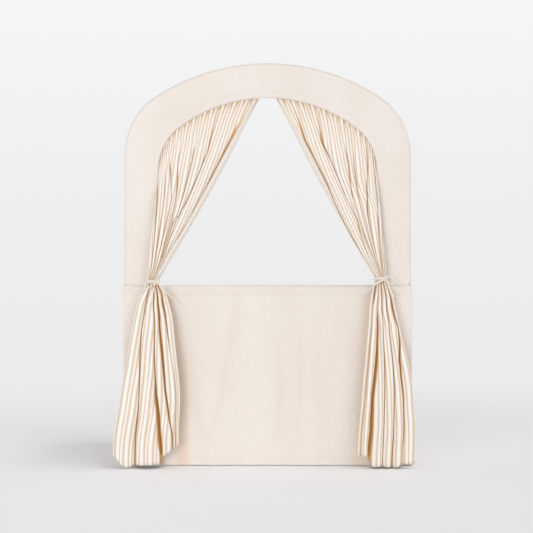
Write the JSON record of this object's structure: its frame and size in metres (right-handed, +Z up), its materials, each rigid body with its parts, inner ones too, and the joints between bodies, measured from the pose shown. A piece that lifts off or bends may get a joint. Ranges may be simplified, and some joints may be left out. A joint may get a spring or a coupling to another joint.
{
  "type": "puppet theater stand",
  "caption": "Child-height puppet theater: arched tube frame in a canvas sleeve, canvas skirt, tied striped curtains and folding side wings.",
  "frame": {"origin": "on the floor under the middle of the stand's box", "axes": "+Z up, -Y towards the audience, +X to the audience's right"},
  "size_m": [1.034, 0.5245, 1.4],
  "materials": {
    "powder_coat": "satin cream powder coat",
    "bare_steel": "zinc-plated",
    "nylon": "moulded, fine texture",
    "foot_rubber": "matte",
    "canvas": "cotton canvas, natural",
    "ticking": "fine woven stripe, ivory and tan",
    "tie_cloth": "cotton string"
  },
  "bodies": {
    "frame": {"left_lower_post": "powder_coat", "right_lower_post": "powder_coat", "left_post_spigot": "bare_steel", "right_post_spigot": "bare_steel", "left_shoulder_tube": "powder_coat", "right_shoulder_tube": "powder_coat", "left_crown_spigot": "bare_steel", "right_crown_spigot": "bare_steel", "crown_tube": "powder_coat", "left_stage_tee": "nylon", "right_stage_tee": "nylon", "stage_rail": "powder_coat", "left_base_tee": "nylon", "right_base_tee": "nylon", "base_rail": "powder_coat", "left_front_foot": "foot_rubber", "right_front_foot": "foot_rubber", "left_lower_hinge_clip": "nylon", "right_lower_hinge_clip": "nylon", "left_upper_hinge_clip": "nylon", "right_upper_hinge_clip": "nylon", "left_opening_rod": "bare_steel", "right_opening_rod": "bare_steel", "rod_ferrule": "bare_steel", "arch_cover": "canvas", "front_skirt": "canvas", "left_curtain": "ticking", "right_curtain": "ticking", "left_tie": "tie_cloth", "right_tie": "tie_cloth"},
    "left_wing": {"left_wing_front_upright": "powder_coat", "left_wing_rear_upright": "powder_coat", "left_wing_top_rail": "powder_coat", "left_wing_base_rail": "powder_coat", "left_wing_front_elbow": "nylon", "left_wing_rear_elbow": "nylon", "left_wing_front_tee": "nylon", "left_wing_rear_tee": "nylon", "left_wing_front_foot": "foot_rubber", "left_wing_rear_foot": "foot_rubber", "left_wing_skirt": "canvas"},
    "right_wing": {"right_wing_front_upright": "powder_coat", "right_wing_rear_upright": "powder_coat", "right_wing_top_rail": "powder_coat", "right_wing_base_rail": "powder_coat", "right_wing_front_elbow": "nylon", "right_wing_rear_elbow": "nylon", "right_wing_front_tee": "nylon", "right_wing_rear_tee": "nylon", "right_wing_front_foot": "foot_rubber", "right_wing_rear_foot": "foot_rubber", "right_wing_skirt": "canvas"}
  },
  "joints": [
    {"name": "left_wing_fold", "type": "hinge", "parent": "frame", "child": "left_wing", "pos_m": [-0.4841, -0.16939, 0.325], "axis": [0, 0, -1], "range_deg": [0, 90]},
    {"name": "right_wing_fold", "type": "hinge", "parent": "frame", "child": "right_wing", "pos_m": [0.4841, -0.16939, 0.325], "axis": [0, 0, 1], "range_deg": [0, 90]}
  ]
}
